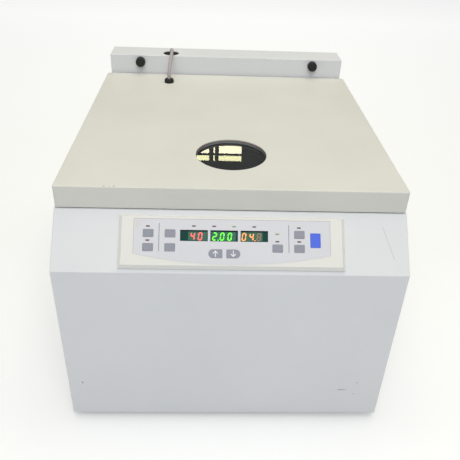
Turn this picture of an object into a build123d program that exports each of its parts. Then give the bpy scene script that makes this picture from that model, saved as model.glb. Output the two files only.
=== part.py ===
from build123d import *

import os
from math import atan2, cos, radians, sin

# Lengths are millimetres. While modelling, y runs back from the front panel and z runs up from the bench.

# Case
CASE_W = 430.0
CASE_D = 534.0
PANEL_H = 248.0
SLOPE_RUN = 53.0
SLOPE_RISE = 55.0
SHEET = 1.5
EDGE_R = 1.2
RETURN_D = 7.0
FOOT_H = 12.0
FOOT_R = 14.0
FOOT_SET_IN = 34.0
TRAY_WALL = 15.0

# Raised console across the back
CONSOLE_D = 50.0
CONSOLE_H = 62.0
CONSOLE_SIDE = 7.0
LEAD_HOLE_R = 14.0
LEAD_X = -101.0
LEAD_HOLE_IN = 17.0
BUMPER_X = 154.5
BUMPER_R = 8.25
BUMPER_REACH = 10.0
BUMPER_DOWN = 11.0

# Lid and its hinge
LID_H = 30.0
LID_GAP = 1.5
LID_SIDE = 1.0
LID_FRONT_SET = 1.6
LID_BACK_GAP = 2.5
LID_REAR_CORNER_R = 5.0
LID_FRONT_CORNER_R = 2.5
LID_TOP_R = 1.4
AXIS_BEHIND = 20.0
AXIS_DOWN = 7.5
SWEEP_R = 21.0
HINGE_IN = 45.0
PIN_R = 3.0
KNUCKLE_R = 5.8
KNUCKLE_W = 10.0
EAR_T = 4.0
EAR_GAP = 1.0
BUSHING_R = 8.0
BUSHING_H = 7.0
BUSHING_AHEAD = 28.0
LEAD_R = 3.0

# Sealed plate under the lid cover, and the window through it
PLATE_T = 12.0
PLATE_OVER = 19.0
PLATE_UP = 3.0
WINDOW_R = 47.0
GLASS_T = 10.0
GLASS_OVER = 8.0
GLASS_DEEP = 9.5
RING_WALL = 3.0
RING_FOOT = 7.0
RING_GAP = 0.8
SPACER_R = 6.0

# Chamber
CHAMBER_MARGIN = 50.0
CHAMBER_WALL = 3.0
CHAMBER_DEPTH = 140.0
CHAMBER_FLOOR = 4.0
FLANGE_OUT = 21.0
FLANGE_UP = 1.0
LIP_OUT = 29.0
LIP_T = 4.0
GASKET_IN = 5.0
GASKET_W = 9.0
GASKET_SEAT = 3.0
GASKET_H = 4.6
HEATER_T = 3.0
JACKET_T = 14.0
WRAP_LOW = 25.0
WRAP_HIGH = 22.0

# Rotor and the magnets that turn it through the chamber floor
WELL_COUNT = 8
WELL_R = 15.5
WELL_IN = 35.0
WELL_DEPTH = 60.0
ROTOR_GAP = 13.0
LOWER_PLATE_UP = 24.0
LOWER_PLATE_T = 4.0
UPPER_PLATE_T = 5.0
HUB_R = 20.0
HUB_UP = 6.0
KNOB_R = 18.0
KNOB_H = 18.0
POST_R = 4.0
SPINDLE_R = 6.0
BEARING_R = 13.0
BEARING_H = 8.0
MAGNET_R = 45.0
MAGNET_T = 8.0
MAGNET_GAP = 3.0
SHAFT_R = 5.0
MOTOR_R = 40.0
MOTOR_H = 85.0
MOUNT_T = 3.0
MOUNT_HALF = 68.0
COLUMN_R = 7.0

# Vacuum outlet through the rear panel
PORT_R = 7.0
SPIGOT_R = 6.0
PORT_COLLAR = 3.0
PORT_GROOVE = 1.0
PORT_LEAD_IN = 1.0
PORT_BORE_R = 4.0
PORT_REACH = 20.0
PORT_UP = 11.0

# Control panel on the slope: x across, v up the slope, n out of it
BEZEL_HALF_W = 136.0
BEZEL_LOW = 5.0
BEZEL_HIGH = 69.7
BEZEL_N = 6.0
BEZEL_FACE_T = 2.0
BEZEL_CHAMFER = 4.0
BEZEL_TOP_CHAMFER = 2.2
BEZEL_STEP = 2.0
POCKET_IN = 6.5
OVERLAY_HALF_W = 117.75
OVERLAY_TOP = 65.0
OVERLAY_SIDE_LOW = 22.7
OVERLAY_LOW = 10.5
OVERLAY_T = 0.4
OVERLAY_CORNER = 3.0
KEY_W = 12.2
KEY_H = 9.2
KEY_PROUD = 0.4
KEY_TRAVEL = 0.5
KEY_RIM = 1.2
KEY_CORNER = 0.8
STOP_W = 12.1
STOP_H = 17.3
ARROW_W = 16.1
ARROW_H = 10.0
DISPLAY_W = 33.0
DISPLAY_H = 13.5
DISPLAY_V = 45.0
DISPLAY_XS = (-46.0, -10.0, 26.1)
LAMP_W = 4.5
LAMP_H = 1.8
LAMP_SPOTS = (
    (-101.0, 55.6),
    (-101.0, 38.6),
    (-46.3, 56.5),
    (-22.0, 56.5),
    (1.9, 56.5),
    (26.0, 56.5),
    (53.7, 48.0),
    (53.7, 39.0),
    (79.8, 56.0),
    (80.0, 39.1),
)
KEY_SPOTS = {
    "key_outer_left_top": (-100.4, 47.2),
    "key_outer_left_low": (-100.4, 30.3),
    "key_inner_left_top": (-74.4, 47.2),
    "key_inner_left_low": (-74.4, 30.3),
    "key_inner_right": (54.1, 30.7),
    "key_outer_right_top": (80.3, 47.7),
    "key_outer_right_low": (80.3, 30.7),
}
STOP_SPOT = (99.6, 40.9)
UP_SPOT = (-20.2, 23.5)
DOWN_SPOT = (1.1, 23.5)
BOARD_BEHIND = 2.4
BOARD_T = 1.6
STANDOFF_R = 2.5

# Fan, inlet and supply
FAN_W = 80.0
FAN_D = 25.0
FAN_IN = 95.0
FAN_UP = 88.0
BLADE_COUNT = 7
INLET_IN = 90.0
INLET_UP = 88.0
INLET_W = 46.0
INLET_H = 62.0
INLET_D = 28.0
INLET_RIM = 3.0
SOCKET_W = 24.0
SOCKET_H = 16.5
ROCKER_W = 14.0
ROCKER_H = 21.0
ROCKER_T = 9.0
ROCKER_SWING = 8.0
SUPPLY_W = 86.0
SUPPLY_D = 150.0
SCREW_R = 3.5

# Fits
SLIP = 0.2
KEY_SLIP = 0.2
RUN = 0.05
LOOSE = 0.3

# Planes and centres that follow from the sizes
HALF_W = CASE_W / 2
INNER_W = HALF_W - SHEET
SLOPE_Z = FOOT_H + PANEL_H
DECK_Z = SLOPE_Z + SLOPE_RISE
BACK_IN = CASE_D - SHEET
TOTAL_D = CASE_D + PORT_REACH
CONSOLE_Y = CASE_D - CONSOLE_D
CONSOLE_Z = DECK_Z + CONSOLE_H
CONSOLE_HALF = HALF_W - CONSOLE_SIDE
LID_HALF = HALF_W - LID_SIDE
LID_FRONT = SLOPE_RUN + LID_FRONT_SET
LID_REAR = CONSOLE_Y - LID_BACK_GAP
LID_TOP = DECK_Z + LID_H
LID_UNDER = LID_TOP - SHEET
AXIS_Y = CONSOLE_Y - AXIS_BEHIND
AXIS_Z = LID_TOP - AXIS_DOWN
HINGE_X = HALF_W - HINGE_IN
FAN_X = FAN_IN - HALF_W
INLET_X = HALF_W - INLET_IN
BAY_HALF = min(CASE_W, CONSOLE_Y - SLOPE_RUN) / 2
CHAMBER_R = BAY_HALF - CHAMBER_MARGIN
CHAMBER_OUT = CHAMBER_R + CHAMBER_WALL
CHAMBER_Y = SLOPE_RUN + BAY_HALF
CHAMBER_Z = DECK_Z - CHAMBER_DEPTH
RIM_Z = DECK_Z + FLANGE_UP
ROTOR_R = CHAMBER_R - ROTOR_GAP
WELL_RING = ROTOR_R - WELL_IN
WINDOW_Y = CHAMBER_Y - WELL_RING
PLATE_Z = DECK_Z + PLATE_UP
PLATE_TOP = PLATE_Z + PLATE_T
GLASS_TOP = LID_TOP - GLASS_DEEP
GLASS_R = WINDOW_R + GLASS_OVER
LOWER_Z = CHAMBER_Z + LOWER_PLATE_UP
UPPER_Z = LOWER_Z + LOWER_PLATE_T + WELL_DEPTH
HUB_TOP = UPPER_Z + UPPER_PLATE_T
DRIVE_TOP = CHAMBER_Z - CHAMBER_FLOOR - MAGNET_GAP
MOTOR_TOP = DRIVE_TOP - MAGNET_T - 15
SLOPE_ANGLE = atan2(SLOPE_RISE, SLOPE_RUN)
SLOPE = Plane(origin=(0, 0, SLOPE_Z), x_dir=(1, 0, 0), z_dir=(0, -sin(SLOPE_ANGLE), cos(SLOPE_ANGLE)))
FACE_BACK = BEZEL_N - BEZEL_FACE_T
OVERLAY_N = BEZEL_N + OVERLAY_T


def box(x0, x1, y0, y1, z0, z1):
    """A box between two corners."""
    return Pos((x0 + x1) / 2, (y0 + y1) / 2, (z0 + z1) / 2) * Box(x1 - x0, y1 - y0, z1 - z0)


def disc(radius, z0, z1, x=0.0, y=CHAMBER_Y):
    """An upright cylinder."""
    return Pos(x, y, (z0 + z1) / 2) * Cylinder(radius, z1 - z0)


def ring(outer, inner, z0, z1, x=0.0, y=CHAMBER_Y):
    """An upright tube."""
    return disc(outer, z0, z1, x, y) - disc(inner, z0 - 1, z1 + 1, x, y)


def rod_x(radius, x0, x1, y, z):
    """A cylinder along x."""
    return Pos((x0 + x1) / 2, y, z) * Rot(0, 90, 0) * Cylinder(radius, x1 - x0)


def rod_y(radius, y0, y1, x, z):
    """A cylinder along y."""
    return Pos(x, (y0 + y1) / 2, z) * Rot(90, 0, 0) * Cylinder(radius, y1 - y0)


def slab(x, v, width, height, n0, n1):
    """A box on the slope, centred at x and v, between two distances out of the slope."""
    return SLOPE.location * Pos(x, v, (n0 + n1) / 2) * Box(width, height, n1 - n0)


def peg(x, v, radius, n0, n1):
    """A cylinder that stands out of the slope."""
    return SLOPE.location * Pos(x, v, (n0 + n1) / 2) * Cylinder(radius, n1 - n0)


def side_profile(inset):
    """The case's side outline, or with an inset the hollow inside its sheet, open below and behind."""
    drop = inset * (1 - sin(SLOPE_ANGLE)) / cos(SLOPE_ANGLE)
    low = FOOT_H - 10 if inset else FOOT_H
    end = CASE_D + 10 if inset else BACK_IN
    high = DECK_Z - inset
    top_y = SLOPE_RUN + (inset / cos(SLOPE_ANGLE) - inset) * SLOPE_RUN / SLOPE_RISE
    points = [(0, inset, low), (0, inset, SLOPE_Z - drop), (0, top_y, high), (0, end, high), (0, end, low)]
    return make_face(Polyline(*points, close=True))


def housing_shell():
    """Front panel, slope and both sides, bent from one sheet, open below, behind and above."""
    outer = Pos(-HALF_W, 0, 0) * extrude(side_profile(0), CASE_W, dir=(1, 0, 0))
    sharp = [
        edge
        for edge in outer.edges()
        if edge.center().Z > FOOT_H + 1 and edge.center().Y < CASE_D / 2 + 30 and edge.center().Z < DECK_Z - 0.5
    ]
    outer = fillet(sharp, EDGE_R)
    inner = Pos(-INNER_W, 0, 0) * extrude(side_profile(SHEET), INNER_W * 2, dir=(1, 0, 0))
    shell = outer - inner
    shell -= box(-INNER_W, INNER_W, SLOPE_RUN + RETURN_D, CASE_D, DECK_Z - SHEET - 1, DECK_Z + 1)
    shell -= slab(0, slope_mid(), board_w() + 2, board_h() + 1, -5, 5)
    return shell


def slope_mid():
    """The middle of the control bezel up the slope."""
    return (BEZEL_LOW + BEZEL_HIGH) / 2


def board_w():
    """The control board's width."""
    return (BEZEL_HALF_W - POCKET_IN) * 2 - 7


def board_h():
    """The control board's height up the slope."""
    return BEZEL_HIGH - BEZEL_LOW - 2 * POCKET_IN


def base_pan():
    """A folded tray that closes the case below."""
    tray = box(-INNER_W, INNER_W, SHEET, BACK_IN, FOOT_H, FOOT_H + TRAY_WALL)
    hollow = box(
        -INNER_W + SHEET, INNER_W - SHEET, 2 * SHEET, BACK_IN - SHEET, FOOT_H + SHEET, FOOT_H + TRAY_WALL + 1
    )
    return tray - hollow


def rubber_feet():
    """Four feet with softened lower edges."""
    feet = []
    for x in (-HALF_W + FOOT_SET_IN, HALF_W - FOOT_SET_IN):
        for y in (FOOT_SET_IN, CASE_D - FOOT_SET_IN):
            foot = disc(FOOT_R, 0, FOOT_H, x, y)
            feet.append(chamfer(foot.edges().sort_by(Axis.Z)[0], 1.5))
    return feet


def fan_slots():
    """Ring slots in front of the fan, held by four spokes."""
    z = FOOT_H + FAN_UP
    slots = []
    for outer in (13.0, 21.0, 29.0, 37.0):
        slot = rod_y(outer, BACK_IN - 1, CASE_D + 1, FAN_X, z)
        slot -= rod_y(outer - 5.5, BACK_IN - 2, CASE_D + 2, FAN_X, z)
        for turn in (45, 135):
            slot -= Pos(FAN_X, CASE_D, z) * Rot(0, turn, 0) * Box(FAN_W * 1.25, 10, 3)
        slots.append(slot)
    return slots


def rear_panel():
    """The flat sheet that closes the case and the console behind."""
    sheet = box(-HALF_W, HALF_W, BACK_IN, CASE_D, FOOT_H, DECK_Z)
    sheet += box(-CONSOLE_HALF, CONSOLE_HALF, BACK_IN, CASE_D, DECK_Z, CONSOLE_Z)
    for slot in fan_slots():
        sheet -= slot
    z = FOOT_H + INLET_UP
    sheet -= box(
        INLET_X - INLET_W / 2 - SLIP,
        INLET_X + INLET_W / 2 + SLIP,
        BACK_IN - 1,
        CASE_D + 1,
        z - INLET_H / 2 - SLIP,
        z + INLET_H / 2 + SLIP,
    )
    sheet -= rod_y(PORT_R, BACK_IN - 1, CASE_D + 1, 0, CHAMBER_Z + PORT_UP)
    return sheet


def rear_screws():
    """Socket screw heads round the rear panel."""
    screws = []
    spots = [(x, z) for x in (-HALF_W + 9, HALF_W - 9) for z in (FOOT_H + 9, (FOOT_H + DECK_Z) / 2, DECK_Z - 12)]
    spots += [(x, CONSOLE_Z - 9) for x in (-CONSOLE_HALF + 9, CONSOLE_HALF - 9)]
    spots += [(0, CONSOLE_Z - 9), (0, FOOT_H + 9)]
    for x, z in spots:
        head = rod_y(SCREW_R, CASE_D, CASE_D + 2.2, x, z)
        head = fillet(head.edges().sort_by(Axis.Y)[-1], 1.0)
        socket = Pos(x, CASE_D + 2, z) * Rot(90, 0, 0) * extrude(RegularPolygon(1.6, 6), 2, both=True)
        screws.append(head - (socket & rod_y(3, CASE_D + 0.8, CASE_D + 3, x, z)))
    return screws


def top_deck():
    """The flat deck under the lid and the console, with the opening for the chamber."""
    deck = box(-INNER_W, INNER_W, SLOPE_RUN + RETURN_D, BACK_IN, DECK_Z - SHEET, DECK_Z)
    deck -= disc(CHAMBER_R + FLANGE_OUT + SLIP, DECK_Z - 10, DECK_Z + 10)
    deck -= disc(LEAD_HOLE_R, DECK_Z - 10, DECK_Z + 10, LEAD_X, CONSOLE_Y + LEAD_HOLE_IN + 12)
    return deck


def rear_console():
    """The raised sheet box across the back, with a hole for the lid lead."""
    outer = box(-CONSOLE_HALF, CONSOLE_HALF, CONSOLE_Y, BACK_IN, DECK_Z, CONSOLE_Z)
    sharp = [
        edge
        for edge in outer.edges()
        if edge.center().Z > DECK_Z + 1 and edge.center().Y < BACK_IN - 0.5
    ]
    outer = fillet(sharp, EDGE_R)
    inner = box(
        -CONSOLE_HALF + SHEET, CONSOLE_HALF - SHEET, CONSOLE_Y + SHEET, CASE_D, DECK_Z - 1, CONSOLE_Z - SHEET
    )
    outer -= inner
    return outer - disc(LEAD_HOLE_R, CONSOLE_Z - 5, CONSOLE_Z + 5, LEAD_X, CONSOLE_Y + LEAD_HOLE_IN)


def lid_bumpers():
    """Two rubber stops that the opened lid leans on."""
    bumpers = []
    for x in (-BUMPER_X, BUMPER_X):
        stop = rod_y(BUMPER_R, CONSOLE_Y - BUMPER_REACH, CONSOLE_Y, x, CONSOLE_Z - BUMPER_DOWN)
        bumpers.append(fillet(stop.edges().sort_by(Axis.Y)[0], 2.0))
    return bumpers


def hinge_brackets():
    """Two forked brackets on the deck that hold the hinge pins."""
    brackets = []
    inside = KNUCKLE_W / 2 + EAR_GAP
    reach = inside + EAR_T
    for x in (-HINGE_X, HINGE_X):
        fork = box(x - reach - 2, x + reach + 2, AXIS_Y - 22, AXIS_Y + 3, DECK_Z, DECK_Z + 3)
        for side in (-1, 1):
            near = x + side * inside
            far = x + side * reach
            fork += rod_x(KNUCKLE_R, min(near, far), max(near, far), AXIS_Y, AXIS_Z)
            fork += box(min(near, far), max(near, far), AXIS_Y - 12, AXIS_Y + 3, DECK_Z, AXIS_Z - 4)
            fork += box(min(near, far), max(near, far), AXIS_Y - 5.5, AXIS_Y + 3, DECK_Z, AXIS_Z)
        fork -= rod_x(PIN_R, x - reach - 5, x + reach + 5, AXIS_Y, AXIS_Z)
        brackets.append(fork)
    return brackets


def hinge_pins():
    """The two steel pins that the lid turns on."""
    reach = KNUCKLE_W / 2 + EAR_GAP + EAR_T + 1
    return [rod_x(PIN_R, x - reach, x + reach, AXIS_Y, AXIS_Z) for x in (-HINGE_X, HINGE_X)]


def lid_cover():
    """The lid's outer sheet: a shallow pan, cut round its hinge line so that it clears the deck."""
    outer = box(-LID_HALF, LID_HALF, LID_FRONT, LID_REAR, DECK_Z + LID_GAP, LID_TOP)
    upright = outer.edges().filter_by(Axis.Z).sort_by(Axis.Y)
    outer = fillet(upright[2:], LID_REAR_CORNER_R)
    upright = outer.edges().filter_by(Axis.Z).sort_by(Axis.Y)
    outer = fillet(upright[:2], LID_FRONT_CORNER_R)
    outer = fillet(outer.faces().sort_by(Axis.Z)[-1].edges(), LID_TOP_R)
    inner = box(-LID_HALF + SHEET, LID_HALF - SHEET, LID_FRONT + SHEET, LID_REAR - SHEET, DECK_Z, LID_UNDER)
    inner = fillet(inner.edges().filter_by(Axis.Z), LID_FRONT_CORNER_R)
    cover = outer - inner
    cover -= disc(WINDOW_R, LID_UNDER - 1, LID_TOP + 1, 0, WINDOW_Y)
    corner = box(-HALF_W, HALF_W, AXIS_Y, LID_REAR + 5, DECK_Z, AXIS_Z)
    cover -= corner - rod_x(SWEEP_R, -HALF_W - 1, HALF_W + 1, AXIS_Y, AXIS_Z)
    notch = KNUCKLE_W / 2 + EAR_GAP + EAR_T + 3
    for x in (-HINGE_X, HINGE_X):
        cover -= box(x - notch, x + notch, LID_REAR - SHEET - 1, LID_REAR + 1, DECK_Z, LID_UNDER)
    hole = LEAD_R + LOOSE
    return cover - disc(hole, LID_UNDER - 1, LID_TOP + 1, LEAD_X, AXIS_Y - BUSHING_AHEAD)


def lid_plate():
    """The round aluminium plate that closes the chamber, with a seat for the glass."""
    plate = disc(CHAMBER_R + PLATE_OVER, PLATE_Z, PLATE_TOP)
    plate = chamfer(plate.edges(), 0.8)
    plate -= disc(WINDOW_R - 1, PLATE_Z - 1, PLATE_TOP + 1, 0, WINDOW_Y)
    return plate - disc(GLASS_R + SLIP, GLASS_TOP - GLASS_T, PLATE_TOP + 1, 0, WINDOW_Y)


def lid_spacers():
    """Posts that join the lid cover to the sealed plate."""
    posts = []
    for turn in (30, 90, 150, 210, 330):
        spot = (cos(radians(turn)) * (CHAMBER_R - 5), CHAMBER_Y + sin(radians(turn)) * (CHAMBER_R - 5))
        posts.append(disc(SPACER_R, PLATE_TOP, LID_UNDER, *spot))
    return posts


def lid_heater():
    """The flat heater mat on the sealed plate."""
    return box(-90, 90, CHAMBER_Y + 2, CHAMBER_Y + CHAMBER_R - 35, PLATE_TOP, PLATE_TOP + 1.5)


def window_glass():
    """The thick glass disc in the lid."""
    glass = disc(GLASS_R, GLASS_TOP - GLASS_T, GLASS_TOP, 0, WINDOW_Y)
    return chamfer(glass.edges(), 0.5)


def window_ring():
    """The turned ring that clamps the glass, with a collar up to the cover."""
    y = WINDOW_Y
    skirt = ring(GLASS_R + RING_FOOT, GLASS_R + SLIP, PLATE_TOP, GLASS_TOP, 0, y)
    web = ring(GLASS_R + RING_FOOT, WINDOW_R - 0.6, GLASS_TOP, GLASS_TOP + 3, 0, y)
    collar = ring(WINDOW_R - 0.6 + RING_WALL, WINDOW_R - 0.6, GLASS_TOP, LID_UNDER - RING_GAP, 0, y)
    return skirt + web + collar


def hinge_leaves():
    """Two leaves under the lid cover, each with a knuckle on its pin."""
    leaves = []
    half = KNUCKLE_W / 2
    for x in (-HINGE_X, HINGE_X):
        leaf = rod_x(KNUCKLE_R, x - half, x + half, AXIS_Y, AXIS_Z)
        leaf += box(x - half, x + half, AXIS_Y - 30, AXIS_Y, LID_UNDER - 3, LID_UNDER)
        leaf += box(x - half - 10, x + half + 10, AXIS_Y - 60, AXIS_Y - 28, LID_UNDER - 3, LID_UNDER)
        leaf -= rod_x(PIN_R + RUN, x - half - 1, x + half + 1, AXIS_Y, AXIS_Z)
        leaves.append(leaf)
    return leaves


def lead_bushing():
    """The rubber dome where the lid lead enters the cover."""
    y = AXIS_Y - BUSHING_AHEAD
    dome = disc(BUSHING_R, LID_TOP, LID_TOP + BUSHING_H, LEAD_X, y)
    dome = fillet(dome.edges().sort_by(Axis.Z)[-1], 3.6)
    return dome - disc(LEAD_R + LOOSE, LID_TOP - 1, LID_TOP + BUSHING_H + 1, LEAD_X, y)


def lid_lead():
    """The lead that rises out of the console, arches over and goes down into the lid."""
    hole_y = CONSOLE_Y + LEAD_HOLE_IN
    end_y = AXIS_Y - BUSHING_AHEAD
    drop = BUMPER_DOWN + 22
    mouth = LID_TOP + BUSHING_H + 1
    arch = Spline(
        (LEAD_X, hole_y + 3, CONSOLE_Z - drop),
        (LEAD_X, hole_y, CONSOLE_Z),
        (LEAD_X + 3, CONSOLE_Y - 2, CONSOLE_Z + 8.5),
        (LEAD_X + 1.5, (AXIS_Y + end_y) / 2 + 2, LID_TOP + 26),
        (LEAD_X, end_y, mouth),
        tangents=((0, -0.1, 1), (0, 0, -1)),
    )
    route = arch + Line((LEAD_X, end_y, mouth), (LEAD_X, end_y, LID_UNDER + 0.2))
    start = Plane(origin=arch @ 0, z_dir=arch % 0)
    return sweep(start * Circle(LEAD_R - 0.02), path=route)


def chamber_pan():
    """The drawn chamber with its machined rim, gasket groove and outlet hole."""
    pan = disc(CHAMBER_OUT, CHAMBER_Z - CHAMBER_FLOOR, RIM_Z)
    pan += disc(CHAMBER_R + LIP_OUT, DECK_Z - SHEET - LIP_T, DECK_Z - SHEET)
    pan += disc(CHAMBER_R + FLANGE_OUT, DECK_Z - SHEET, RIM_Z)
    pan -= disc(CHAMBER_R, CHAMBER_Z, RIM_Z + 1)
    inner = CHAMBER_R + GASKET_IN
    pan -= ring(inner + GASKET_W, inner, RIM_Z - GASKET_SEAT, RIM_Z + 1)
    return pan - rod_y(PORT_R, CHAMBER_Y, CHAMBER_Y + CHAMBER_OUT + 5, 0, CHAMBER_Z + PORT_UP)


def chamber_gasket():
    """The square-section seal in the rim."""
    inner = CHAMBER_R + GASKET_IN + SLIP
    outer = CHAMBER_R + GASKET_IN + GASKET_W - SLIP
    return ring(outer, inner, RIM_Z - GASKET_SEAT, RIM_Z - GASKET_SEAT + GASKET_H)


def heater_band():
    """The heater wrapped round the chamber."""
    return ring(CHAMBER_OUT + HEATER_T, CHAMBER_OUT, CHAMBER_Z + WRAP_LOW, DECK_Z - WRAP_HIGH)


def insulation_jacket():
    """The foam jacket round the heater."""
    inner = CHAMBER_OUT + HEATER_T
    return ring(inner + JACKET_T, inner, CHAMBER_Z + WRAP_LOW, DECK_Z - WRAP_HIGH)


def spindle_post():
    """The fixed post that the rotor turns on."""
    post = disc(MAGNET_R / 2, CHAMBER_Z, CHAMBER_Z + 3)
    post += disc(SPINDLE_R + 3, CHAMBER_Z, CHAMBER_Z + 14)
    return post + disc(SPINDLE_R, CHAMBER_Z, HUB_TOP - 6)


def spindle_bearings():
    """Two bearings and the sleeve between them, stacked on the post's shoulder."""
    low = CHAMBER_Z + 14
    high = HUB_TOP - 8 - BEARING_H
    stack = disc(BEARING_R, low, low + BEARING_H)
    stack += disc(SPINDLE_R + 3, low, high + BEARING_H)
    stack += disc(BEARING_R, high, high + BEARING_H)
    return stack - disc(SPINDLE_R, low - 1, high + BEARING_H + 1)


def rotor_hub():
    """The hub that turns round the bearings, closed at its top."""
    hub = disc(HUB_R, CHAMBER_Z + HUB_UP, HUB_TOP)
    hub += disc(HUB_R + 8, LOWER_Z - 4, LOWER_Z)
    hub += disc(HUB_R + 8, UPPER_Z - 4, UPPER_Z)
    return hub - disc(BEARING_R + RUN, CHAMBER_Z, HUB_TOP - 3)


def driven_magnet():
    """The magnet ring under the rotor, seated against the hub's collar."""
    top = LOWER_Z - 4
    return ring(MAGNET_R, HUB_R + SLIP, top - MAGNET_T - 3, top)


def well_spots():
    """The places of the wells round the rotor."""
    step = 360 / WELL_COUNT
    turns = [radians(-90 + step * i) for i in range(WELL_COUNT)]
    return [(cos(turn) * WELL_RING, CHAMBER_Y + sin(turn) * WELL_RING) for turn in turns]


def rotor_lower_plate():
    """The plate that the vessels stand on, with a shallow seat under each well."""
    plate = ring(ROTOR_R, HUB_R + SLIP, LOWER_Z, LOWER_Z + LOWER_PLATE_T)
    for x, y in well_spots():
        plate -= disc(WELL_R - 2, LOWER_Z + LOWER_PLATE_T - 1.5, LOWER_Z + LOWER_PLATE_T + 1, x, y)
    return plate


def rotor_upper_plate():
    """The plate with the through wells."""
    plate = ring(ROTOR_R, HUB_R + SLIP, UPPER_Z, UPPER_Z + UPPER_PLATE_T)
    for x, y in well_spots():
        plate -= disc(WELL_R, UPPER_Z - 1, UPPER_Z + UPPER_PLATE_T + 1, x, y)
    return plate


def rotor_posts():
    """Posts that hold the two plates apart, between the wells."""
    step = 360 / WELL_COUNT
    posts = []
    for i in range(WELL_COUNT):
        turn = radians(-90 + step * (i + 0.5))
        x = cos(turn) * (ROTOR_R - 12)
        y = CHAMBER_Y + sin(turn) * (ROTOR_R - 12)
        posts.append(disc(POST_R, LOWER_Z + LOWER_PLATE_T, UPPER_Z, x, y))
    return posts


def rotor_knob():
    """The hand knob that holds the rotor down."""
    knob = disc(KNOB_R, HUB_TOP, HUB_TOP + KNOB_H)
    knob = fillet(knob.edges().sort_by(Axis.Z)[-1], 2.5)
    for i in range(8):
        turn = radians(45 * i + 22.5)
        x = cos(turn) * (KNOB_R + 2)
        y = CHAMBER_Y + sin(turn) * (KNOB_R + 2)
        knob -= disc(4.5, HUB_TOP + 3, HUB_TOP + KNOB_H + 1, x, y)
    return knob


def drive_magnet():
    """The motor's magnet disc under the chamber floor."""
    return ring(MAGNET_R, SHAFT_R + RUN, DRIVE_TOP - MAGNET_T, DRIVE_TOP)


def motor_shaft():
    """The motor's shaft, with a collar under the magnet."""
    shaft = disc(SHAFT_R, MOTOR_TOP - MOTOR_H + 12, DRIVE_TOP)
    return shaft + disc(SHAFT_R + 4, DRIVE_TOP - MAGNET_T - 5, DRIVE_TOP - MAGNET_T)


def motor_housing():
    """The motor's round case, hung under its mount."""
    case = disc(MOTOR_R, MOTOR_TOP - MOTOR_H, MOTOR_TOP)
    case = chamfer(case.edges().sort_by(Axis.Z)[0], 2)
    return case - disc(SHAFT_R + RUN, MOTOR_TOP - MOTOR_H + 10, MOTOR_TOP + 1)


def motor_mount():
    """The plate over the motor and the four columns that carry it."""
    half = MOUNT_HALF + COLUMN_R + 5
    mount = box(-half, half, CHAMBER_Y - half, CHAMBER_Y + half, MOTOR_TOP, MOTOR_TOP + MOUNT_T)
    mount -= disc(SHAFT_R + 6, MOTOR_TOP - 1, MOTOR_TOP + MOUNT_T + 1)
    for x in (-MOUNT_HALF, MOUNT_HALF):
        for y in (-MOUNT_HALF, MOUNT_HALF):
            mount += disc(COLUMN_R, FOOT_H + SHEET, MOTOR_TOP, x, CHAMBER_Y + y)
    return mount


def vacuum_port():
    """The straight outlet tube from the chamber wall out through the rear panel."""
    z = CHAMBER_Z + PORT_UP
    tube = rod_y(PORT_R, CHAMBER_Y + CHAMBER_R, CASE_D + PORT_COLLAR, 0, z)
    tube += rod_y(SPIGOT_R - 0.5, CASE_D, TOTAL_D, 0, z)
    tube += rod_y(SPIGOT_R, CASE_D + PORT_COLLAR + PORT_GROOVE, TOTAL_D, 0, z)
    tube += rod_y(PORT_R + 4, BACK_IN - 8, BACK_IN, 0, z)
    tube = chamfer(tube.edges().sort_by(Axis.Y)[-1], PORT_LEAD_IN)
    return tube - rod_y(PORT_BORE_R, CHAMBER_Y, TOTAL_D + 5, 0, z)


def bezel_block():
    """The raised control bezel with slanting edges, before it is cut out."""
    low = slab(0, slope_mid(), BEZEL_HALF_W * 2, BEZEL_HIGH - BEZEL_LOW, 0, BEZEL_STEP)
    wide = Rectangle(BEZEL_HALF_W * 2, BEZEL_HIGH - BEZEL_LOW)
    top_low = BEZEL_LOW + BEZEL_CHAMFER
    top_high = BEZEL_HIGH - BEZEL_TOP_CHAMFER
    narrow = Rectangle((BEZEL_HALF_W - BEZEL_CHAMFER) * 2, top_high - top_low)
    bottom_face = SLOPE.location * Pos(0, slope_mid(), BEZEL_STEP) * wide
    top_face = SLOPE.location * Pos(0, (top_low + top_high) / 2, BEZEL_N) * narrow
    return low + loft([bottom_face.face(), top_face.face()])


def key_sizes():
    """Each key's place and size on the slope."""
    keys = {name: (x, v, KEY_W, KEY_H) for name, (x, v) in KEY_SPOTS.items()}
    keys["key_stop"] = (*STOP_SPOT, STOP_W, STOP_H)
    keys["key_up"] = (*UP_SPOT, ARROW_W, ARROW_H)
    keys["key_down"] = (*DOWN_SPOT, ARROW_W, ARROW_H)
    return keys


def key_block(name, grow, n0, n1):
    """A key's outline, grown on all sides, as a solid between two distances out of the slope."""
    x, v, width, height = key_sizes()[name]
    width += 2 * grow
    height += 2 * grow
    face = Rectangle(width, height)
    side = {"key_up": -1, "key_down": 1}.get(name, 0)
    small = [corner for corner in face.vertices() if corner.X * side <= 0]
    face = fillet(small, KEY_CORNER + grow)
    if side:
        round_end = Pos(side * (width - height) / 2, 0) * Circle(height / 2)
        square_end = Pos(side * (width - height / 2) / 2, 0) * Rectangle(height / 2, height + 1)
        face = face - square_end + (round_end & square_end)
    return SLOPE.location * Pos(x, v, n0) * extrude(face, n1 - n0, dir=(0, 0, 1))


def window_cuts(slip, n0, n1):
    """Solids that cut the keys, displays and lamps out of the bezel or the overlay."""
    cuts = [key_block(name, slip, n0, n1) for name in key_sizes()]
    for x in DISPLAY_XS:
        cuts.append(slab(x, DISPLAY_V, DISPLAY_W, DISPLAY_H, n0, n1))
    for x, v in LAMP_SPOTS:
        cuts.append(slab(x, v, LAMP_W, LAMP_H, n0, n1))
    return cuts


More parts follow.
